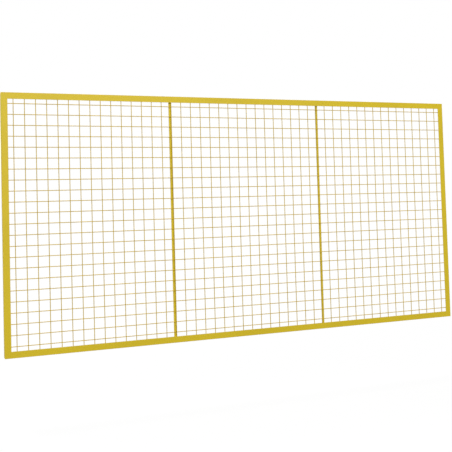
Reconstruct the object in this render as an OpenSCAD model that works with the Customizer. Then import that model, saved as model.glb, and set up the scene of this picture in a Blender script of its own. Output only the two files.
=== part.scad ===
// Machine guard fence panel: a mitred steel angle frame, one sheet of
// square welded mesh behind its front flange and two flat bars that
// stiffen the mesh from behind.
// Units are millimetres. X runs along the panel from the left stile to
// the right one, Y from the front face to the back, Z is up. The origin
// is the centre of the left stile's outer side face.

/* [Panel] */
// Length of the panel over the frame
panel_w = 2410; // [600:10:3000]
// Height of the panel over the frame
panel_h = 1200; // [500:10:2200]
// Radius of the frame's four outer corners, ground after welding
corner_r = 4; // [1:0.5:8]

/* [Frame angle] */
// Width of the front flange, seen from the front
flange_w = 30; // [25:1:50]
// Depth of the side leg, from front to back
leg_d = 30; // [20:1:50]
// Thickness of both legs
angle_t = 3; // [2:0.5:5]
// Radius of the inner corner between the legs
root_r = 5; // [3:0.5:7]
// Radius of the inner edge of each leg's toe
toe_r = 2; // [1:0.25:2]
// Radius of the outer corner between the legs, which rolls leave nearly sharp
heel_r = 1; // [0.5:0.25:2]

/* [Welded mesh] */
// Diameter of the mesh wires
wire_d = 3.5; // [2.5:0.25:5]
// Spacing of the wires, both ways
mesh_pitch = 50; // [25:5:100]
// How deep two crossing wires are melted into each other
weld_sink = 0.4; // [0.2:0.1:0.6]
// Length of wire end that lies behind the frame's front flange
wire_lap = 20; // [10:1:20]
// Number of flats round a wire
wire_sides = 8; // [6:2:8]

/* [Stiffeners] */
// Width of a stiffener bar, seen from the front
bar_w = 12; // [8:1:25]
// Thickness of a stiffener bar, front to back
bar_t = 5; // [3:1:10]
// Radius of a stiffener bar's long edges
bar_edge_r = 0.75; // [0.25:0.25:1]
// Distance of a stiffener's centre line from the nearer end of the panel
bar_inset = 800; // [200:5:900]

/* [Hidden] */
paint = [0.86, 0.73, 0.10];
mesh_paint = [0.80, 0.70, 0.20];
bar_paint = [0.78, 0.66, 0.16];
smooth = 48;
clear = 1;

front_y = -leg_d / 2;
flange_back_y = front_y + angle_t;
mid_x = panel_w / 2;
sheet_edge = flange_w - wire_lap;
upright_y = flange_back_y + wire_d / 2;
crosswire_y = upright_y + wire_d - weld_sink;
mesh_back_y = crosswire_y + wire_d / 2;

// Wires sit symmetrically about the middle of the panel, as many as fit
// between the frame's inner edges.
upright_count = 1 + 2 * floor((mid_x - flange_w - wire_d) / mesh_pitch);
crosswire_count = 1 + 2 * floor((panel_h / 2 - flange_w - wire_d) / mesh_pitch);
function upright_x(i) = mid_x + (i - (upright_count - 1) / 2) * mesh_pitch;
function crosswire_z(j) = (j - (crosswire_count - 1) / 2) * mesh_pitch;
function uprights_between(x0, x1) =
    [for (i = [0 : upright_count - 1]) if (upright_x(i) > x0 && upright_x(i) <= x1) upright_x(i)];

// The sheet is one piece; its model is divided midway between two wires,
// next to each stiffener.
split_step = floor((mid_x - bar_inset) / mesh_pitch) - 0.5;
split_x = split_step * mesh_pitch;

// Section of the angle: x from the outer face inwards, y from the front
// face back.
module angle_section() {
    difference() {
        union() {
            square([flange_w, angle_t]);
            square([angle_t, leg_d]);
            square(angle_t + root_r);
        }
        translate([angle_t + root_r, angle_t + root_r]) circle(r = root_r, $fn = smooth);
        translate([flange_w - toe_r, angle_t - toe_r]) corner_waste(toe_r);
        translate([angle_t - toe_r, leg_d - toe_r]) corner_waste(toe_r);
        translate([heel_r, heel_r]) rotate(180) corner_waste(heel_r);
    }
}

// What the rolls take off a corner that they leave with radius r.
module corner_waste(r) {
    difference() {
        square(r + clear);
        circle(r = r, $fn = smooth);
    }
}

// One side of the frame, lying along +X from 0 to length, with its outer
// face on z = 0 and its flange rising to +Z; both ends are cut at 45
// degrees and follow the ground corner.
module frame_side(length) {
    intersection() {
        rotate([90, 0, 90]) linear_extrude(length) section_for_side();
        mitre_plan(length);
    }
}

// The section turned so that the flange rises from the outer face and the
// leg runs back.
module section_for_side() {
    translate([front_y, 0]) mirror([1, -1]) angle_section();
}

// The side seen from the front: a trapezium whose outer corners are round.
module mitre_plan(length) {
    reach = leg_d + clear;
    translate([0, leg_d, 0]) rotate([90, 0, 0]) linear_extrude(2 * leg_d)
        intersection() {
            polygon([[0, 0], [length, 0], [length - reach, reach], [reach, reach]]);
            ground_corners(length);
        }
}

module ground_corners(length) {
    translate([corner_r, 0]) square([length - 2 * corner_r, leg_d + clear]);
    for (x = [corner_r, length - corner_r])
        translate([x, corner_r]) circle(r = corner_r, $fn = smooth);
    translate([0, corner_r]) square([length, leg_d + clear]);
}

module bottom_rail() {
    color(paint) translate([0, 0, -panel_h / 2]) frame_side(panel_w);
}

module top_rail() {
    color(paint) mirror([0, 0, 1]) translate([0, 0, -panel_h / 2]) frame_side(panel_w);
}

module left_stile() {
    color(paint) mirror([1, 0, -1]) translate([-panel_h / 2, 0, 0]) frame_side(panel_h);
}

module right_stile() {
    color(paint) translate([panel_w, 0, 0]) mirror([1, 0, 0])
        mirror([1, 0, -1]) translate([-panel_h / 2, 0, 0]) frame_side(panel_h);
}

// A flat bar that stands behind the mesh, between the top and bottom legs.
module stiffener(x) {
    color(bar_paint)
        translate([x, mesh_back_y + bar_t / 2, -panel_h / 2 + angle_t])
            linear_extrude(panel_h - 2 * angle_t) bar_section();
}

// The flat bar's section, centred, with its four long edges rounded.
module bar_section() {
    flat_w = bar_w / 2 - bar_edge_r;
    flat_t = bar_t / 2 - bar_edge_r;
    square([bar_w, 2 * flat_t], center = true);
    square([2 * flat_w, bar_t], center = true);
    for (x = [-flat_w, flat_w], y = [-flat_t, flat_t])
        translate([x, y]) circle(r = bar_edge_r, $fn = smooth);
}

// Round wire of the given length along +Z, with flats to front and back.
module wire(length) {
    rotate([0, 0, 180 / wire_sides])
        cylinder(d = wire_d / cos(180 / wire_sides), h = length, $fn = wire_sides);
}

// The mesh between x0 and x1: upright wires in front, cross wires behind,
// melted together where they cross.
module mesh_bay(x0, x1) {
    color(mesh_paint) union() {
        for (x = uprights_between(x0, x1))
            translate([x, upright_y, -panel_h / 2 + sheet_edge])
                wire(panel_h - 2 * sheet_edge);
        for (j = [0 : crosswire_count - 1])
            translate([x0, crosswire_y, crosswire_z(j)])
                rotate([0, 90, 0]) wire(x1 - x0);
    }
}

top_rail();
bottom_rail();
left_stile();
right_stile();
stiffener(bar_inset);  // left_stiffener
stiffener(panel_w - bar_inset);  // right_stiffener
mesh_bay(sheet_edge, mid_x - split_x);  // mesh_left_bay
mesh_bay(mid_x - split_x, mid_x + split_x);  // mesh_middle_bay
mesh_bay(mid_x + split_x, panel_w - sheet_edge);  // mesh_right_bay
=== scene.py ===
"""Dresses a machine guard fence panel: a painted angle frame, a welded mesh sheet and two stiffeners.

Lengths are metres in the panel's own axes: X runs along the panel from its left stile,
Y from the front face to the back, Z up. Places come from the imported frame.
"""

from __future__ import annotations

import logging
import math
from dataclasses import dataclass, field
from enum import Enum

import bpy
from mathutils import Euler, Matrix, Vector

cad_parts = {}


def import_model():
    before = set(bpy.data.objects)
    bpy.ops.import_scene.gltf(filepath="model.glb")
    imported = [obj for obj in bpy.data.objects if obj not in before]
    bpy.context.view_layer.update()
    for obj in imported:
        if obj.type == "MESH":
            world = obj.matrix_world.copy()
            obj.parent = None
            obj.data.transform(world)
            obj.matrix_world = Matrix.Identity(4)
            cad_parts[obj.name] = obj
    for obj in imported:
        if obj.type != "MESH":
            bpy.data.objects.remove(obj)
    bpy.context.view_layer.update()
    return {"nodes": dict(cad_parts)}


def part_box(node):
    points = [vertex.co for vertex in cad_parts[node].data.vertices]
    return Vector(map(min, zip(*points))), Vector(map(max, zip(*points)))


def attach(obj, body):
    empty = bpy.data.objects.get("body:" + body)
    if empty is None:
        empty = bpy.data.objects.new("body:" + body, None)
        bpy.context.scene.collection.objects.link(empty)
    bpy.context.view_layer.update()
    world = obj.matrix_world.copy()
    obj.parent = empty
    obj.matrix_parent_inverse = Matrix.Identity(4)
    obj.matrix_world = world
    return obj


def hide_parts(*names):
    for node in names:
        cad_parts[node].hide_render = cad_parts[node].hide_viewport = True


log = logging.getLogger("fence_panel")

ROOT_BODY = "root"
SEED = 7

# The kinds of socket that the node groups have.
NUMBER = "NodeSocketFloat"
WHOLE = "NodeSocketInt"
VECTOR = "NodeSocketVector"
COLOUR = "NodeSocketColor"
SHAPE = "NodeSocketGeometry"
PAINT = "NodeSocketMaterial"

# A span is the two ends of a range, a line its two end points, and a tack its middle and half size.
Colour = tuple[float, float, float]
Triple = tuple[float, float, float]
Span = tuple[float, float]
Line = tuple[Vector, Vector]
Tack = tuple[Vector, Vector]
Socket = bpy.types.NodeSocket
Node = bpy.types.Node
Tree = bpy.types.NodeTree
Material = bpy.types.Material
Piece = bpy.types.Object
Input = Socket | float | str | tuple[float, ...] | Vector | Material

# The powder coats' colours, in linear light, and the share of an effect from none to all of it.
WHOLE_SHARE: Span = (0.0, 1.0)
FRAME_YELLOW: Colour = (0.655, 0.488, 0.012)
FRAME_SHADE: Colour = (0.590, 0.435, 0.010)
# The wires' two colours are darker copies of the frame's: painted shade that darkens the thin wires.
SHADED_WIRE_YELLOW: Colour = (0.600, 0.418, 0.012)
SHADED_WIRE_DARK_TONE: Colour = (0.540, 0.372, 0.010)


class Slot(Enum):
    """The names of the record's material slots for the pieces' finishes."""

    FRAME = "frame_paint"
    STIFFENER = "stiffener_paint"
    MESH = "mesh_paint"


class Kind(Enum):
    """What a node group works on."""

    SHADER = "ShaderNodeTree"
    GEOMETRY = "GeometryNodeTree"


class Blend(Enum):
    """What a Mix node blends, with the places of its two inputs and its result."""

    VECTOR = (4, 5, 1)
    RGBA = (6, 7, 2)


class Corner(Enum):
    """A mitred corner of the frame, with the way from it into the panel along X and Z."""

    LOWER_LEFT = (1, 1)
    LOWER_RIGHT = (-1, 1)
    UPPER_LEFT = (1, -1)
    UPPER_RIGHT = (-1, -1)


class Graph:
    """Adds, sets and links the nodes of one node tree."""

    def __init__(self, tree: Tree) -> None:
        """Starts work on a shader or geometry node tree."""
        self.tree = tree

    def feed(self, node: Node, inputs: dict[str | int, Input]) -> None:
        """Sets or links a node's inputs.

        Args:
            node: The node.
            inputs: Values or sockets by input name or index.
        """
        for key, value in inputs.items():
            if isinstance(value, Socket):
                self.tree.links.new(value, node.inputs[key])
            else:
                node.inputs[key].default_value = value

    def add(
        self, kind: str, inputs: dict[str | int, Input] | None = None, **settings: str | int | Tree
    ) -> Node:
        """Adds a node.

        Args:
            kind: The node's type name.
            inputs: Values or sockets by input name or index.
            **settings: Attributes of the node itself, set before its inputs.

        Returns:
            The new node.
        """
        node = self.tree.nodes.new(kind)
        for name, value in settings.items():
            setattr(node, name, value)
        self.feed(node, inputs or {})
        return node

    def math(self, operation: str, *values: float | Socket, clamp: bool = False) -> Socket:
        """Adds a Math node with its inputs in order, and gives its result's socket."""
        inputs = dict(enumerate(values))
        return self.add("ShaderNodeMath", inputs, operation=operation, use_clamp=clamp).outputs[0]

    def vector_math(self, operation: str, *values: Input) -> Node:
        """Adds a Vector Math node with its inputs in order."""
        return self.add("ShaderNodeVectorMath", dict(enumerate(values)), operation=operation)

    def scaled(self, vector: Socket, factor: float | Socket) -> Socket:
        """Scales a vector.

        Args:
            vector: The vector to scale.
            factor: How much it grows.

        Returns:
            The scaled vector's socket.
        """
        node = self.vector_math("SCALE", vector)
        self.feed(node, {"Scale": factor})
        return node.outputs[0]

    def combine(
        self, x: float | Socket = 0.0, y: float | Socket = 0.0, z: float | Socket = 0.0
    ) -> Socket:
        """Makes a vector of its parts along X, Y and Z."""
        return self.add("ShaderNodeCombineXYZ", {0: x, 1: y, 2: z}).outputs[0]

    def remap(self, value: Socket, old: Span, new: Span = WHOLE_SHARE) -> Socket:
        """Maps a value smoothly from one range to another.

        Args:
            value: The value to map.
            old: The range that it comes from.
            new: The range that it goes to.

        Returns:
            The mapped value's socket, kept inside the new range.
        """
        inputs = {
            "Value": value, "From Min": old[0], "From Max": old[1], "To Min": new[0], "To Max": new[1],
        }
        return self.add("ShaderNodeMapRange", inputs, interpolation_type="SMOOTHSTEP").outputs[0]

    def noise(self, place: Socket, size: float | Socket, detail: float) -> Socket:
        """Adds a noise pattern.

        Args:
            place: The coordinates that it reads.
            size: The size of its patches in metres.
            detail: How many finer layers it has.

        Returns:
            The pattern's socket, around one half.
        """
        density = self.math("DIVIDE", 1.0, size)
        inputs = {"Vector": place, "Scale": density, "Detail": detail}
        return self.add("ShaderNodeTexNoise", inputs).outputs["Fac"]

    def place(self) -> Socket:
        """Gives the object coordinates that every pattern reads."""
        return self.add("ShaderNodeTexCoord").outputs["Object"]

    def blend(self, blend: Blend, factor: float | Socket, first: Input, second: Input) -> Socket:
        """Mixes two colours or two vectors.

        Args:
            blend: What the two are.
            factor: The share of the second.
            first: The value or socket at factor 0.
            second: The value or socket at factor 1.

        Returns:
            The mixed result's socket.
        """
        start, end, result = blend.value
        inputs = {0: factor, start: first, end: second}
        return self.add("ShaderNodeMix", inputs, data_type=blend.name).outputs[result]


class Group(Graph):
    """A node group in the making, with its named inputs and outputs."""

    def __init__(self, name: str, kind: Kind, inputs: dict[str, str], outputs: dict[str, str]) -> None:
        """Opens a node group.

        Args:
            name: The group's name.
            kind: Whether it works on shading or on geometry.
            inputs: Socket types by input name.
            outputs: Socket types by output name.
        """
        super().__init__(bpy.data.node_groups.new(name, kind.value))
        for way, sockets in (("INPUT", inputs), ("OUTPUT", outputs)):
            for socket_name, socket_type in sockets.items():
                self.tree.interface.new_socket(socket_name, in_out=way, socket_type=socket_type)
        start = self.add("NodeGroupInput")
        self.given: dict[str, Socket] = {socket.name: socket for socket in start.outputs if socket.name}
        self.end = self.add("NodeGroupOutput")

    def close(self, results: dict[str, Socket]) -> Tree:
        """Sends results out by output name, and gives the finished group's tree."""
        self.feed(self.end, results)
        return self.tree

    def close_painted(self, geometry: Socket) -> Tree:
        """Makes instances real, gives them the Paint input and sends them out of the group.

        Args:
            geometry: What the tree has built.

        Returns:
            The finished group's tree.
        """
        solid = self.add("GeometryNodeRealizeInstances", {0: geometry}).outputs[0]
        inputs = {"Geometry": solid, "Material": self.given["Paint"]}
        return self.close({"Geometry": self.add("GeometryNodeSetMaterial", inputs).outputs[0]})


def build_by_nodes(
    name: str, tree: Tree, values: dict[str, Input], start: bpy.types.Mesh | None = None
) -> Piece:
    """Runs a geometry node tree and keeps its result as a plain mesh.

    Args:
        name: The new object's name.
        tree: The geometry node tree.
        values: The tree's inputs by socket name.
        start: The mesh that the tree starts from, if it needs one.

    Returns:
        An object at the origin that holds the plain mesh, with no modifier.
    """
    start = start or bpy.data.meshes.new(f"{name}_start")
    piece = bpy.data.objects.new(name, start)
    bpy.context.scene.collection.objects.link(piece)
    modifier = piece.modifiers.new("build", "NODES")
    modifier.node_group = tree
    for item in tree.interface.items_tree:
        if item.in_out == "INPUT" and item.name in values:
            modifier[item.identifier] = values[item.name]
    depsgraph = bpy.context.evaluated_depsgraph_get()
    result = bpy.data.meshes.new_from_object(piece.evaluated_get(depsgraph), depsgraph=depsgraph)
    result.name = name
    piece.modifiers.clear()
    piece.data = result
    bpy.data.meshes.remove(start)
    return piece


def settle(piece: Piece, crisp_from: float) -> None:
    """Shades a piece, lets it ride with the panel and logs its triangle count.

    Args:
        piece: The finished piece.
        crisp_from: The angle in degrees from which its edges stay crisp.
    """
    piece.data.shade_smooth()
    piece.data.set_sharp_from_angle(angle=math.radians(crisp_from))
    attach(piece, ROOT_BODY)
    triangles = sum(len(face.vertices) - 2 for face in piece.data.polygons)
    log.info("%s: %d triangles", piece.name, triangles)


def paint_solids(solids: dict[str, Piece], names: tuple[str, ...], material: Material) -> None:
    """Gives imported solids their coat.

    Args:
        solids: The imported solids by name.
        names: Which of them to paint.
        material: The coat.
    """
    for name in names:
        for slot in solids[name].material_slots:
            slot.material = material
        log.info("%s: %s", name, material.name)


@dataclass(frozen=True)
class Coat:
    """A powder coat: its colours, its gloss and the texture of its skin over rolled steel."""

    name: str
    colour: Colour
    shade: Colour
    roughness: float = 0.42
    specular: float = 0.35
    peel_size: float = 0.0022
    peel_depth: float = 0.00011
    wave_size: float = 0.018
    wave_depth: float = 0.00014
    drift_size: float = 0.35
    speck_size: float = 0.0035
    dust: float = 0.24
    edge_radius: float = 0.0008
    edge_wear: float = 0.30


@dataclass(frozen=True)
class Seams:
    """Where the frame's mitre welds are ground flush.

    The mitre lines follow from the frame's middle and half its size. The ground band fades out
    from core to band, measured from a mitre line.
    """

    middle: Triple
    half_size: Triple
    band: float = 0.0040
    core: float = 0.0016
    unevenness_size: float = 0.009
    unevenness_depth: float = 0.00014
    unevenness_detail: float = 1.0


@dataclass
class PaintShop:
    """Builds the paint effects once and mixes them into a material for each coat.

    A pattern's range is the part of its noise that is stretched over its share. edge_match is
    how well the rounded and the true normal agree, from a plain face to an edge, and dust_slope
    is how far a face looks up, from bare to covered.
    """

    drift_range: Span = (0.35, 0.70)
    drift_share: Span = (0.0, 0.55)
    drift_detail: float = 3.0
    speck_range: Span = (0.45, 0.75)
    speck_share: Span = (0.0, 0.45)
    speck_detail: float = 2.0
    relief_detail: float = 2.0
    edge_match: Span = (0.97, 0.80)
    edge_darkness: float = 0.80
    edge_samples: int = 6
    dust_colour: Colour = (0.60, 0.52, 0.33)
    dust_size: float = 0.016
    dust_detail: float = 4.0
    dust_slope: Span = (0.45, 0.95)
    dust_range: Span = (0.35, 0.70)
    dust_share: Span = (0.25, 1.0)
    dust_roughness: float = 0.40
    relief: Tree = field(init=False)
    tone: Tree = field(init=False)
    edge: Tree = field(init=False)
    dust: Tree = field(init=False)

    def __post_init__(self) -> None:
        """Builds the effect groups that the coats share."""
        self.relief = self._relief()
        self.tone = self._coat_tone()
        self.edge = self._rounded_edge()
        self.dust = self._settled_dust()

    def _relief(self) -> Tree:
        """Makes the soft bumps of a powder coat or of rolled steel under it.

        Returns:
            The group, which puts out a height in metres.
        """
        group = Group("soft_relief", Kind.SHADER, {"Size": NUMBER, "Depth": NUMBER}, {"Height": NUMBER})
        bumps = group.noise(group.place(), group.given["Size"], self.relief_detail)
        return group.close({"Height": group.math("MULTIPLY", bumps, group.given["Depth"])})

    def _coat_tone(self) -> Tree:
        """Makes the slow drift and the fine specks of a coat between its two colours.

        Returns:
            The group, which puts out a colour.
        """
        inputs = {"Colour": COLOUR, "Shade": COLOUR, "Drift Size": NUMBER, "Speck Size": NUMBER}
        group = Group("coat_tone", Kind.SHADER, inputs, {"Colour": COLOUR})
        place = group.place()
        drift = group.noise(place, group.given["Drift Size"], self.drift_detail)
        speck = group.noise(place, group.given["Speck Size"], self.speck_detail)
        slow = group.remap(drift, self.drift_range, self.drift_share)
        fine = group.remap(speck, self.speck_range, self.speck_share)
        share = group.math("ADD", slow, fine, clamp=True)
        mixed = group.blend(Blend.RGBA, share, group.given["Colour"], group.given["Shade"])
        return group.close({"Colour": mixed})

    def _rounded_edge(self) -> Tree:
        """Rounds sharp edges to the eye and finds them, since powder lies thin there.

        Returns:
            The group, which puts out a mask and a normal.
        """
        outputs = {"Mask": NUMBER, "Normal": VECTOR}
        group = Group("rounded_edge", Kind.SHADER, {"Radius": NUMBER}, outputs)
        rounded = group.add(
            "ShaderNodeBevel", {"Radius": group.given["Radius"]}, samples=self.edge_samples
        )
        flat = group.add("ShaderNodeNewGeometry").outputs["Normal"]
        match = group.vector_math("DOT_PRODUCT", rounded.outputs["Normal"], flat).outputs["Value"]
        mask = group.remap(match, self.edge_match)
        return group.close({"Mask": mask, "Normal": rounded.outputs["Normal"]})

    def _settled_dust(self) -> Tree:
        """Lays a broken film of dust on faces that look up.

        Returns:
            The group, which puts out a mask.
        """
        inputs = {"Amount": NUMBER, "Patch Size": NUMBER}
        group = Group("settled_dust", Kind.SHADER, inputs, {"Mask": NUMBER})
        normal = group.add("ShaderNodeNewGeometry").outputs["Normal"]
        up = group.add("ShaderNodeSeparateXYZ", {0: normal}).outputs["Z"]
        facing = group.remap(up, self.dust_slope)
        broken = group.noise(group.place(), group.given["Patch Size"], self.dust_detail)
        patches = group.remap(broken, self.dust_range, self.dust_share)
        film = group.math("MULTIPLY", facing, patches)
        return group.close({"Mask": group.math("MULTIPLY", film, group.given["Amount"], clamp=True)})

    def _seam_mask(self, graph: Graph, seams: Seams) -> Socket:
        """Finds the ground band along the frame's mitres.

        Args:
            graph: The material's graph.
            seams: Where the mitres are.

        Returns:
            The mask's socket, 1 on the mitre line.
        """
        across = graph.vector_math("SUBTRACT", graph.place(), seams.middle).outputs[0]
        outwards = graph.vector_math("ABSOLUTE", across).outputs[0]
        inset = graph.vector_math("SUBTRACT", seams.half_size, outwards).outputs[0]
        parts = graph.add("ShaderNodeSeparateXYZ", {0: inset}).outputs
        aside = graph.math("ABSOLUTE", graph.math("SUBTRACT", parts["X"], parts["Z"]))
        return graph.remap(aside, (seams.band, seams.core))

    def mix(self, coat: Coat, seams: Seams | None = None) -> Material:
        """Makes the material of one coat.

        Args:
            coat: The coat's colours, gloss and texture.
            seams: Where welds were ground flush under the coat, if they were.

        Returns:
            The new material.
        """
        material = bpy.data.materials.new(coat.name)
        material.use_nodes = True
        graph = Graph(material.node_tree)
        principled = next(n for n in graph.tree.nodes if n.type == "BSDF_PRINCIPLED")
        colours = {"Colour": (*coat.colour, 1.0), "Shade": (*coat.shade, 1.0)}
        scales = {"Drift Size": coat.drift_size, "Speck Size": coat.speck_size}
        tone = graph.add("ShaderNodeGroup", node_tree=self.tone)
        edge = graph.add("ShaderNodeGroup", node_tree=self.edge)
        dust = graph.add("ShaderNodeGroup", node_tree=self.dust)
        peel = graph.add("ShaderNodeGroup", node_tree=self.relief)
        wave = graph.add("ShaderNodeGroup", node_tree=self.relief)
        graph.feed(tone, colours | scales)
        graph.feed(edge, {"Radius": coat.edge_radius})
        graph.feed(dust, {"Amount": coat.dust, "Patch Size": self.dust_size})
        graph.feed(peel, {"Size": coat.peel_size, "Depth": coat.peel_depth})
        graph.feed(wave, {"Size": coat.wave_size, "Depth": coat.wave_depth})

        height = graph.math("ADD", peel.outputs["Height"], wave.outputs["Height"])
        thin = edge.outputs["Mask"]
        normal = edge.outputs["Normal"]
        if seams:
            ground = self._seam_mask(graph, seams)
            flat = graph.add("ShaderNodeNewGeometry").outputs["Normal"]
            normal = graph.blend(Blend.VECTOR, ground, normal, flat)
            thin = graph.math("MULTIPLY", thin, graph.math("SUBTRACT", 1.0, ground))
            uneven = graph.noise(graph.place(), seams.unevenness_size, seams.unevenness_detail)
            relief = graph.math("MULTIPLY", uneven, seams.unevenness_depth)
            height = graph.math("MULTIPLY_ADD", relief, ground, height)

        worn = graph.math("MULTIPLY", thin, coat.edge_wear)
        edge_colour = (*(value * self.edge_darkness for value in coat.shade), 1.0)
        painted = graph.blend(Blend.RGBA, worn, tone.outputs["Colour"], edge_colour)
        film = dust.outputs["Mask"]
        dusted = graph.blend(Blend.RGBA, film, painted, (*self.dust_colour, 1.0))
        rough = graph.math("MULTIPLY_ADD", film, self.dust_roughness, coat.roughness, clamp=True)
        bump = graph.add("ShaderNodeBump", {"Height": height, "Distance": 1.0, "Normal": normal})
        graph.feed(principled, {
            "Base Color": dusted, "Roughness": rough, "Normal": bump.outputs["Normal"],
            "Specular IOR Level": coat.specular,
        })
        return material


@dataclass
class Welder:
    """Lays rippled weld beads along lines and sets tacks on points.

    A bead's ends are drawn in: over end_range, in shares of its length from either end, its
    radius grows across end_share. A tack varies in size within tack_share.
    """

    ripple: float = 0.0021
    ripple_depth: float = 0.16
    ripple_power: float = 2.0
    steps_per_ripple: float = 5.0
    end_range: Span = (-0.06, 0.10)
    end_share: Span = (0.35, 1.0)
    bead_sides: int = 10
    tack_share: Span = (0.85, 1.15)
    tack_segments: int = 10
    tack_rings: int = 6
    crisp_from: float = 60.0
    bead: Tree = field(init=False)
    tack: Tree = field(init=False)

    def __post_init__(self) -> None:
        """Builds the two node trees that all the welds share."""
        self.bead = self._bead()
        self.tack = self._tack()

    def _bead(self) -> Tree:
        """Turns each edge of a mesh into a rippled bead, closed at both ends.

        Returns:
            The geometry node tree. The mesh carries each bead's radius as bead_radius.
        """
        inputs = {"Geometry": SHAPE, "Ripple": NUMBER, "Ripple Depth": NUMBER, "Paint": PAINT}
        group = Group("weld_bead", Kind.GEOMETRY, inputs, {"Geometry": SHAPE})
        given = group.given
        lines = group.add("GeometryNodeMeshToCurve", {"Mesh": given["Geometry"]}).outputs[0]
        step = group.math("DIVIDE", given["Ripple"], self.steps_per_ripple)
        path = group.add("GeometryNodeResampleCurve", {"Curve": lines, "Length": step}, mode="LENGTH")
        base = group.add("GeometryNodeInputNamedAttribute", {"Name": "bead_radius"}, data_type="FLOAT")
        along = group.add("GeometryNodeSplineParameter").outputs
        phase = group.math("FRACT", group.math("DIVIDE", along["Length"], given["Ripple"]))
        curved = group.math("POWER", phase, self.ripple_power)
        swell = group.math("SUBTRACT", 1.0, group.math("MULTIPLY", curved, given["Ripple Depth"]))
        from_end = group.math("PINGPONG", along["Factor"], 0.5)
        closing = group.remap(from_end, self.end_range, self.end_share)
        radius = group.math("MULTIPLY", group.math("MULTIPLY", base.outputs[0], swell), closing)
        inputs = {"Resolution": self.bead_sides, "Radius": 1.0}
        ring = group.add("GeometryNodeCurvePrimitiveCircle", inputs)
        bead = group.add("GeometryNodeCurveToMesh", {
            "Curve": path.outputs[0], "Profile Curve": ring.outputs[0], "Scale": radius, "Fill Caps": True,
        })
        return group.close_painted(bead.outputs[0])

    def _tack(self) -> Tree:
        """Puts a tack of uneven size on each point of a mesh.

        Returns:
            The geometry node tree. The mesh carries each tack's half size as tack_size.
        """
        inputs = {"Geometry": SHAPE, "Seed": WHOLE, "Paint": PAINT}
        group = Group("weld_tack", Kind.GEOMETRY, inputs, {"Geometry": SHAPE})
        size = group.add(
            "GeometryNodeInputNamedAttribute", {"Name": "tack_size"}, data_type="FLOAT_VECTOR"
        )
        least, most = self.tack_share
        limits = {0: (least,) * 3, 1: (most,) * 3, "Seed": group.given["Seed"]}
        uneven = group.add("FunctionNodeRandomValue", limits, data_type="FLOAT_VECTOR")
        scale = group.vector_math("MULTIPLY", size.outputs[0], uneven.outputs[0]).outputs[0]
        inputs = {"Segments": self.tack_segments, "Rings": self.tack_rings, "Radius": 1.0}
        blob = group.add("GeometryNodeMeshUVSphere", inputs)
        tacks = group.add("GeometryNodeInstanceOnPoints", {
            "Points": group.given["Geometry"], "Instance": blob.outputs[0], "Scale": scale,
        })
        return group.close_painted(tacks.outputs[0])

    def lay_beads(
        self, name: str, lines: list[Line], radius: float, material: Material, slot: Slot
    ) -> None:
        """Makes one piece of several straight beads.

        Args:
            name: The piece's name.
            lines: The start and end of each bead.
            radius: The beads' radius.
            material: The coat over them.
            slot: The record's slot of that coat; not used.
        """
        start = bpy.data.meshes.new(f"{name}_lines")
        points = [point for line in lines for point in line]
        start.from_pydata(points, [(2 * i, 2 * i + 1) for i in range(len(lines))], [])
        radii = [radius] * len(points)
        start.attributes.new("bead_radius", "FLOAT", "POINT").data.foreach_set("value", radii)
        values = {"Ripple": self.ripple, "Ripple Depth": self.ripple_depth, "Paint": material}
        settle(build_by_nodes(name, self.bead, values, start), self.crisp_from)

    def set_tacks(self, name: str, tacks: list[Tack], material: Material, slot: Slot) -> None:
        """Makes one piece of several tacks.

        Args:
            name: The piece's name.
            tacks: The middle and half size of each tack.
            material: The coat over them.
            slot: The record's slot of that coat; not used.
        """
        start = bpy.data.meshes.new(f"{name}_points")
        start.from_pydata([middle for middle, _ in tacks], [], [])
        sizes = [value for _, size in tacks for value in size]
        start.attributes.new("tack_size", "FLOAT_VECTOR", "POINT").data.foreach_set("vector", sizes)
        values = {"Seed": SEED, "Paint": material}
        settle(build_by_nodes(name, self.tack, values, start), self.crisp_from)


@dataclass
class Panel:
    """The panel's main places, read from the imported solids."""

    low: Vector = field(default_factory=lambda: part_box("bottom_rail")[0])
    high: Vector = field(default_factory=lambda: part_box("top_rail")[1])
    sheet_low: Vector = field(default_factory=lambda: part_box("mesh_left_bay")[0])
    sheet_high: Vector = field(default_factory=lambda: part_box("mesh_right_bay")[1])

    @property
    def flange(self) -> float:
        """Width of the front flange, which is the bottom rail's height."""
        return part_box("bottom_rail")[1].z - self.low.z

    @property
    def flange_back(self) -> float:
        """The back of the front flange along Y, where the sheet starts."""
        return self.sheet_low.y

    @property
    def wall(self) -> float:
        """Thickness of the angle."""
        return self.flange_back - self.low.y

    @property
    def middle(self) -> Vector:
        """The middle of the panel's box."""
        return (self.low + self.high) / 2

    @property
    def size(self) -> Vector:
        """The panel's size along X, Y and Z."""
        return self.high - self.low

    def inside(self, corner: Corner, inset: float, y: float) -> Vector:
        """Gives a point that lies the same way in from both outer sides of a corner.

        Args:
            corner: The corner.
            inset: The way in from each outer side.
            y: The point's place from front to back.

        Returns:
            The point.
        """
        inward_x, inward_z = corner.value
        x = self.low.x + inset if inward_x > 0 else self.high.x - inset
        z = self.low.z + inset if inward_z > 0 else self.high.z - inset
        return Vector((x, y, z))


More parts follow.
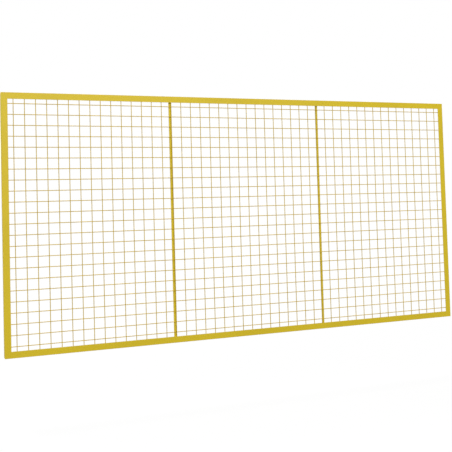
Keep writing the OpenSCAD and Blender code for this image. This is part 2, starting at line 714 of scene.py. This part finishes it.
@dataclass
class AngleFrame:
    """The mitred angle frame: two rails and two stiles, ground flush outside and welded inside.

    Beads on the flange lie sunk by sunk_share of their radius and end toe_gap before its toe.
    Those between the legs start leg_weld_rise behind the flange.
    """

    panel: Panel
    shop: PaintShop
    welder: Welder
    coat: Coat = Coat("frame_powder_coat", FRAME_YELLOW, FRAME_SHADE)
    nodes: tuple[str, ...] = ("top_rail", "bottom_rail", "left_stile", "right_stile")
    root: float = 0.005
    bead: float = 0.0022
    sunk_share: float = 0.35
    toe_gap: float = 0.0015
    leg_weld_rise: float = 0.0030

    def _weld_lines(self) -> list[Line]:
        """Finds the inside weld lines of the four mitres.

        Returns:
            For each corner, a line across the flange's back and one along the inside of the legs.
        """
        panel = self.panel
        sunk = panel.flange_back - self.bead * self.sunk_share
        insets = (panel.wall + self.root, panel.flange - self.toe_gap)
        depths = (panel.flange_back + self.leg_weld_rise, panel.high.y - self.bead)
        lines = []
        for corner in Corner:
            lines.append(tuple(panel.inside(corner, inset, sunk) for inset in insets))
            lines.append(tuple(panel.inside(corner, panel.wall, y) for y in depths))
        return lines

    def build(self, solids: dict[str, Piece]) -> None:
        """Paints the rails and stiles and welds their mitres.

        Args:
            solids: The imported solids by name.
        """
        seams = Seams(tuple(self.panel.middle), tuple(self.panel.size / 2))
        paint_solids(solids, self.nodes, self.shop.mix(self.coat, seams))
        weld_coat = self.shop.mix(Coat("weld_powder_coat", self.coat.colour, self.coat.shade))
        self.welder.lay_beads("corner_welds", self._weld_lines(), self.bead, weld_coat, Slot.FRAME)


@dataclass
class WireSheet:
    """The welded mesh: upright wires in front, cross wires behind, melted together where they meet.

    Wires stray within wander, over lengths of about wander_size. The squeezed-out metal at a
    crossing measures from flash_least to flash_most, in wire radii. One wire in tack_every is
    tacked to the flange, over tack_reach from its end.
    """

    panel: Panel
    shop: PaintShop
    welder: Welder
    # This coat carries painted shade: the wires' colours are darker than the frame's.
    coat: Coat = Coat("wire_coat_with_painted_shade", SHADED_WIRE_YELLOW, SHADED_WIRE_DARK_TONE, wave_depth=0.0, edge_radius=0.0003)
    pitch: float = 0.050
    wire: float = 0.0035
    wire_sides: int = 12
    bends_per_metre: float = 40.0
    wander: float = 0.0012
    wander_size: float = 0.45
    wander_detail: float = 1.0
    flash_least: Triple = (1.15, 0.45, 1.15)
    flash_most: Triple = (1.35, 0.60, 1.35)
    flash_segments: int = 8
    flash_rings: int = 4
    crisp_from: float = 40.0
    tack_every: int = 2
    tack_reach: float = 0.012
    upright_tack: Triple = (0.0022, 0.0016, 0.0042)
    cross_tack: tuple[float, float] = (0.0040, 0.0026)
    tack_overlap: float = 0.0006

    @property
    def middle(self) -> Vector:
        """The middle of the sheet."""
        return (self.panel.sheet_low + self.panel.sheet_high) / 2

    @property
    def size(self) -> Vector:
        """The sheet's size along X, Y and Z."""
        return self.panel.sheet_high - self.panel.sheet_low

    @property
    def layer_gap(self) -> float:
        """Distance between the centre planes of the two layers of wire."""
        return self.size.y - self.wire

    @property
    def upright_y(self) -> float:
        """The centre plane of the upright wires."""
        return self.middle.y - self.layer_gap / 2

    @property
    def cross_y(self) -> float:
        """The centre plane of the cross wires."""
        return self.middle.y + self.layer_gap / 2

    @property
    def upright_places(self) -> list[float]:
        """The upright wires' places along X, from left to right."""
        return self._spread(self.middle.x, self.panel.size.x)

    @property
    def cross_places(self) -> list[float]:
        """The cross wires' places along Z, from bottom to top."""
        return self._spread(self.middle.z, self.panel.size.z)

    def _spread(self, middle: float, length: float) -> list[float]:
        """Spreads as many wires as stand clear of both flanges.

        Args:
            middle: The place of the middle wire.
            length: The frame's outer length across the wires.

        Returns:
            The wires' places in rising order.
        """
        clear = length / 2 - self.panel.flange - self.wire
        beside = int(clear / self.pitch)
        return [middle + i * self.pitch for i in range(-beside, beside + 1)]

    def _wandering(self, group: Group, geometry: Socket) -> Socket:
        """Shifts points a little in the plane of the sheet, the same way for wires that cross.

        Args:
            group: The sheet's tree.
            geometry: The points or curves to shift.

        Returns:
            The shifted geometry.
        """
        given = group.given
        place = group.add("GeometryNodeInputPosition").outputs[0]
        flat = group.vector_math("MULTIPLY", place, (1.0, 0.0, 1.0)).outputs[0]
        density = group.math("DIVIDE", 1.0, given["Wander Size"])
        inputs = {"Vector": flat, "W": given["Seed"], "Scale": density, "Detail": self.wander_detail}
        noise = group.add("ShaderNodeTexNoise", inputs, noise_dimensions="4D").outputs["Color"]
        centred = group.vector_math("SUBTRACT", noise, (0.5, 0.5, 0.5)).outputs[0]
        reach = group.combine(given["Wander"], 0.0, given["Wander"])
        shift = group.vector_math("MULTIPLY", centred, reach).outputs[0]
        return group.add("GeometryNodeSetPosition", {"Geometry": geometry, "Offset": shift}).outputs[0]

    def _layer(self, group: Group, count: Socket, step: Socket, first: Socket, half: Socket) -> Socket:
        """Lays one layer of wires.

        Args:
            group: The sheet's tree.
            count: How many wires.
            step: The vector from one wire to the next.
            first: The middle of the first wire.
            half: The vector from a wire's middle to its end.

        Returns:
            The layer's mesh.
        """
        given = group.given
        back = group.scaled(half, -1.0)
        rod = group.add("GeometryNodeCurvePrimitiveLine", {"Start": back, "End": half}).outputs[0]
        length = group.math("MULTIPLY", group.vector_math("LENGTH", half).outputs["Value"], 2.0)
        bends = group.math("MULTIPLY", length, given["Bends per Metre"])
        bent = group.add("GeometryNodeResampleCurve", {"Curve": rod, "Count": bends}).outputs[0]
        inputs = {"Count": count, "Start Location": first, "Offset": step}
        row = group.add("GeometryNodeMeshLine", inputs).outputs[0]
        placed = group.add("GeometryNodeInstanceOnPoints", {"Points": row, "Instance": bent}).outputs[0]
        loose = group.add("GeometryNodeRealizeInstances", {0: placed}).outputs[0]
        radius = group.math("MULTIPLY", given["Wire Diameter"], 0.5)
        inputs = {"Resolution": self.wire_sides, "Radius": radius}
        ring = group.add("GeometryNodeCurvePrimitiveCircle", inputs).outputs[0]
        inputs = {"Curve": self._wandering(group, loose), "Profile Curve": ring, "Fill Caps": True}
        return group.add("GeometryNodeCurveToMesh", inputs).outputs[0]

    def _flashes(self, group: Group, width: Socket, height: Socket) -> Socket:
        """Puts a little squeezed-out metal where each pair of wires is melted together.

        Args:
            group: The sheet's tree.
            width: Distance from the first upright wire to the last.
            height: Distance from the lowest cross wire to the highest.

        Returns:
            The instances.
        """
        given = group.given
        grid = group.add("GeometryNodeMeshGrid", {
            "Size X": width, "Size Y": height, "Vertices X": given["Uprights"],
            "Vertices Y": given["Cross Wires"],
        }).outputs[0]
        turned = {"Geometry": grid, "Rotation": (math.pi / 2, 0.0, 0.0)}
        upright = group.add("GeometryNodeTransform", turned).outputs[0]
        inputs = {"Segments": self.flash_segments, "Rings": self.flash_rings, "Radius": 1.0}
        blob = group.add("GeometryNodeMeshUVSphere", inputs)
        limits = {0: self.flash_least, 1: self.flash_most, "Seed": given["Seed"]}
        spread = group.add("FunctionNodeRandomValue", limits, data_type="FLOAT_VECTOR").outputs[0]
        radius = group.math("MULTIPLY", given["Wire Diameter"], 0.5)
        return group.add("GeometryNodeInstanceOnPoints", {
            "Points": self._wandering(group, upright), "Instance": blob.outputs[0],
            "Scale": group.scaled(spread, radius),
        }).outputs[0]

    def _tree(self) -> Tree:
        """Builds the sheet's geometry node tree.

        Returns:
            The tree.
        """
        inputs = {
            "Centre": VECTOR, "Sheet Width": NUMBER, "Sheet Height": NUMBER, "Uprights": WHOLE,
            "Cross Wires": WHOLE, "Pitch": NUMBER, "Wire Diameter": NUMBER, "Layer Gap": NUMBER,
            "Bends per Metre": NUMBER, "Wander": NUMBER, "Wander Size": NUMBER, "Seed": WHOLE,
            "Paint": PAINT,
        }
        group = Group("welded_mesh_sheet", Kind.GEOMETRY, inputs, {"Geometry": SHAPE})
        given = group.given
        behind = group.math("MULTIPLY", given["Layer Gap"], 0.5)
        before = group.math("MULTIPLY", behind, -1.0)
        spans = []
        for count in (given["Uprights"], given["Cross Wires"]):
            spans.append(group.math("MULTIPLY", group.math("SUBTRACT", count, 1.0), given["Pitch"]))
        left, bottom = (group.math("MULTIPLY", span, -0.5) for span in spans)
        uprights = self._layer(
            group, given["Uprights"], group.combine(x=given["Pitch"]), group.combine(left, before, 0.0),
            group.combine(z=group.math("MULTIPLY", given["Sheet Height"], 0.5)),
        )
        cross_wires = self._layer(
            group, given["Cross Wires"], group.combine(z=given["Pitch"]), group.combine(0.0, behind, bottom),
            group.combine(x=group.math("MULTIPLY", given["Sheet Width"], 0.5)),
        )
        joined = group.add("GeometryNodeJoinGeometry")
        for part in (uprights, cross_wires, self._flashes(group, *spans)):
            group.tree.links.new(part, joined.inputs[0])
        moved = {"Geometry": joined.outputs[0], "Translation": given["Centre"]}
        return group.close_painted(group.add("GeometryNodeTransform", moved).outputs[0])

    def _build_wires(self, material: Material) -> None:
        """Makes the sheet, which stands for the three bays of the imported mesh.

        Args:
            material: The wires' coat.
        """
        values = {
            "Centre": self.middle, "Sheet Width": self.size.x, "Sheet Height": self.size.z,
            "Uprights": len(self.upright_places), "Cross Wires": len(self.cross_places),
            "Pitch": self.pitch, "Wire Diameter": self.wire, "Layer Gap": self.layer_gap,
            "Bends per Metre": self.bends_per_metre, "Wander": self.wander,
            "Wander Size": self.wander_size, "Seed": SEED, "Paint": material,
        }
        sheet = build_by_nodes("mesh_sheet", self._tree(), values)
        settle(sheet, self.crisp_from)
        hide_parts("mesh_left_bay", "mesh_middle_bay", "mesh_right_bay")

    def _edge_tacks(self) -> list[Tack]:
        """Finds the tacks that hold the sheet's edges to the back of the flanges.

        Returns:
            The middle and half size of each tack.
        """
        panel = self.panel
        tacks = []
        upright_y = (panel.flange_back + self.upright_y) / 2
        for i, x in enumerate(self.upright_places[:: self.tack_every]):
            beside = self.wire / 2 if i % 2 else -self.wire / 2
            for z in (panel.sheet_low.z + self.tack_reach / 2, panel.sheet_high.z - self.tack_reach / 2):
                tacks.append((Vector((x + beside, upright_y, z)), Vector(self.upright_tack)))
        stand_off = (self.cross_y - panel.flange_back) / 2
        length, height = self.cross_tack
        for z in self.cross_places[:: self.tack_every]:
            for x in (panel.sheet_low.x + self.tack_reach / 2, panel.sheet_high.x - self.tack_reach / 2):
                middle = Vector((x, panel.flange_back + stand_off, z))
                tacks.append((middle, Vector((length, stand_off + self.tack_overlap, height))))
        return tacks

    def build(self) -> None:
        """Makes the sheet and tacks its edges to the frame."""
        material = self.shop.mix(self.coat)
        self._build_wires(material)
        self.welder.set_tacks("mesh_tacks", self._edge_tacks(), material, Slot.MESH)


@dataclass
class Stiffeners:
    """The two flat bars behind the mesh, welded to the rails and tacked to some cross wires.

    The welds along a bar's edges start weld_setback behind its front, and a tack sits tack_drop
    below the middle of its wire.
    """

    panel: Panel
    sheet: WireSheet
    shop: PaintShop
    welder: Welder
    coat: Coat = Coat("stiffener_powder_coat", FRAME_YELLOW, FRAME_SHADE)
    nodes: tuple[str, ...] = ("left_stiffener", "right_stiffener")
    bead: float = 0.0018
    weld_setback: float = 0.0006
    tack_every: int = 3
    tack_size: Triple = (0.0028, 0.0016, 0.0021)
    tack_drop: float = 0.001

    def _weld_lines(self) -> list[Line]:
        """Finds the weld lines at the bars' ends.

        Returns:
            For each end, a line down both edges of the bar and one across its back.
        """
        lines = []
        for low, high in map(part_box, self.nodes):
            for z in (low.z, high.z):
                left, right = Vector((low.x, high.y, z)), Vector((high.x, high.y, z))
                to_front = Vector((0.0, low.y - high.y + self.weld_setback, 0.0))
                lines += [(left + to_front, left), (right + to_front, right), (left, right)]
        return lines

    def _mesh_tacks(self) -> list[Tack]:
        """Finds the tacks that hold the cross wires, on either edge of a bar by turns.

        Returns:
            The middle and half size of each tack.
        """
        tacks = []
        held = self.sheet.cross_places[1 :: self.tack_every]
        for low, high in map(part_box, self.nodes):
            for i, z in enumerate(held):
                x = high.x if i % 2 else low.x
                tacks.append((Vector((x, low.y, z - self.tack_drop)), Vector(self.tack_size)))
        return tacks

    def build(self, solids: dict[str, Piece]) -> None:
        """Paints the bars, welds their ends and tacks the mesh to them.

        Args:
            solids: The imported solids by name.
        """
        material = self.shop.mix(self.coat)
        paint_solids(solids, self.nodes, material)
        slot = Slot.STIFFENER
        self.welder.lay_beads("stiffener_welds", self._weld_lines(), self.bead, material, slot)
        self.welder.set_tacks("stiffener_tacks", self._mesh_tacks(), material, slot)


@dataclass(frozen=True)
class Lamp:
    """A round soft lamp, placed by the way it shines on the panel's middle.

    Azimuth 0 is straight before the panel and grows towards its right end, in degrees.
    """

    name: str
    azimuth: float
    elevation: float
    distance: float
    size: float
    power: float

    def hang(self, middle: Vector) -> None:
        """Hangs the lamp and aims it.

        Args:
            middle: The point that it is aimed at.
        """
        turn, rise = math.radians(self.azimuth), math.radians(self.elevation)
        level = math.cos(rise)
        way = Vector((math.sin(turn) * level, -math.cos(turn) * level, math.sin(rise)))
        light = bpy.data.lights.new(self.name, "AREA")
        light.shape = "DISK"
        light.size = self.size
        light.energy = self.power
        holder = bpy.data.objects.new(self.name, light)
        holder.location = middle + way * self.distance
        holder.rotation_euler = way.to_track_quat("Z", "Y").to_euler()
        holder.visible_camera = False
        bpy.context.scene.collection.objects.link(holder)
        log.info("%s: %.0f W", self.name, self.power)


@dataclass
class Studio:
    """A white studio: a floor that fades into a white world, soft lamps and the camera.

    The floor lights the panel as a grey of floor_grey. To the camera it glows at floor_lift, and
    a surface of floor_catch adds the lamps' light and the panel's shadow to that.
    """

    panel: Panel
    floor_drop: float = 0.30
    floor_reach: float = 30.0
    floor_grey: float = 0.30
    floor_lift: float = 0.935
    floor_catch: float = 0.055
    fade_start: float = 2.5
    fade_end: float = 6.0
    world_level: float = 0.26
    lamps: tuple[Lamp, ...] = (
        Lamp("key_lamp", azimuth=-5.0, elevation=39.0, distance=10.0, size=14.0, power=1175.0),
        Lamp("back_lamp", azimuth=-140.0, elevation=56.0, distance=14.0, size=5.0, power=1450.0),
    )
    camera_spot: Triple = (-0.2549, -3.5013, 0.0546)
    camera_turn: Triple = (92.43, 1.65, -20.92)
    lens: float = 59.2
    sensor: float = 36.0
    lens_shift: float = -0.114

    def _seen_directly(self, graph: Graph) -> Socket:
        """Tells rays that show the background from rays that light the panel.

        Args:
            graph: The graph of the world or of the floor.

        Returns:
            A socket that is 1 on rays that show the background.
        """
        path = graph.add("ShaderNodeLightPath").outputs
        seen = graph.math("MAXIMUM", path["Is Camera Ray"], path["Is Glossy Ray"])
        return graph.math("MAXIMUM", seen, path["Is Transmission Ray"])

    def _build_world(self) -> None:
        """Makes a world that looks white and lights the panel at a plain level."""
        world = bpy.data.worlds.new("white_studio")
        world.use_nodes = True
        graph = Graph(world.node_tree)
        background = next(n for n in world.node_tree.nodes if n.type == "BACKGROUND")
        rest = 1.0 - self.world_level
        strength = graph.math("MULTIPLY_ADD", self._seen_directly(graph), rest, self.world_level)
        graph.feed(background, {"Color": (1.0, 1.0, 1.0, 1.0), "Strength": strength})
        bpy.context.scene.world = world

    def _floor_material(self, spot: Vector) -> Material:
        """Makes the floor's finish: pale to look at, with a faint shadow near the panel.

        Args:
            spot: The point on the floor under the panel.

        Returns:
            The new material.
        """
        material = bpy.data.materials.new("studio_floor")
        material.use_nodes = True
        material.node_tree.nodes.clear()
        graph = Graph(material.node_tree)
        matt = graph.add("ShaderNodeBsdfDiffuse", {"Color": (*(self.floor_grey,) * 3, 1.0)})
        catcher = graph.add("ShaderNodeBsdfDiffuse", {"Color": (*(self.floor_catch,) * 3, 1.0)})
        lift = graph.add("ShaderNodeEmission", {"Strength": self.floor_lift})
        shadowed = graph.add("ShaderNodeAddShader", {0: catcher.outputs[0], 1: lift.outputs[0]})
        white = graph.add("ShaderNodeEmission", {"Strength": 1.0})
        away = graph.vector_math("DISTANCE", graph.place(), tuple(spot)).outputs["Value"]
        fade = graph.remap(away, (self.fade_start, self.fade_end))
        shown = graph.add("ShaderNodeMixShader", {0: fade, 1: shadowed.outputs[0], 2: white.outputs[0]})
        seen = self._seen_directly(graph)
        both = graph.add("ShaderNodeMixShader", {0: seen, 1: matt.outputs[0], 2: shown.outputs[0]})
        graph.add("ShaderNodeOutputMaterial", {"Surface": both.outputs[0]})
        return material

    def _build_floor(self) -> None:
        """Lays the floor below the panel."""
        spot = Vector((self.panel.middle.x, self.panel.middle.y, self.panel.low.z - self.floor_drop))
        reach = self.floor_reach
        ways = ((-1, -1), (1, -1), (1, 1), (-1, 1))
        mesh = bpy.data.meshes.new("studio_floor")
        mesh.from_pydata([spot + Vector((x * reach, y * reach, 0.0)) for x, y in ways], [], [(0, 1, 2, 3)])
        mesh.materials.append(self._floor_material(spot))
        floor = bpy.data.objects.new("studio_floor", mesh)
        bpy.context.scene.collection.objects.link(floor)

    def _build_camera(self) -> None:
        """Sets up the camera."""
        camera = bpy.data.cameras.new("camera")
        camera.lens = self.lens
        camera.sensor_width = self.sensor
        camera.shift_y = self.lens_shift
        holder = bpy.data.objects.new("camera", camera)
        holder.location = self.camera_spot
        holder.rotation_euler = Euler([math.radians(angle) for angle in self.camera_turn], "XYZ")
        bpy.context.scene.collection.objects.link(holder)
        bpy.context.scene.camera = holder

    def build(self) -> None:
        """Sets up the world, the floor, the lamps and the camera."""
        self._build_world()
        self._build_floor()
        for lamp in self.lamps:
            lamp.hang(self.panel.middle)
        self._build_camera()
        bpy.context.scene.view_settings.view_transform = "Standard"


def main() -> None:
    """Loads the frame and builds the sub-assemblies in order."""
    logging.basicConfig(level=logging.INFO, format="%(message)s")
    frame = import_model()
    solids = frame["nodes"]
    panel = Panel()
    shop = PaintShop()
    welder = Welder()
    AngleFrame(panel, shop, welder).build(solids)
    sheet = WireSheet(panel, shop, welder)
    sheet.build()
    Stiffeners(panel, sheet, shop, welder).build(solids)
    Studio(panel).build()


if __name__ == "__main__":
    main()
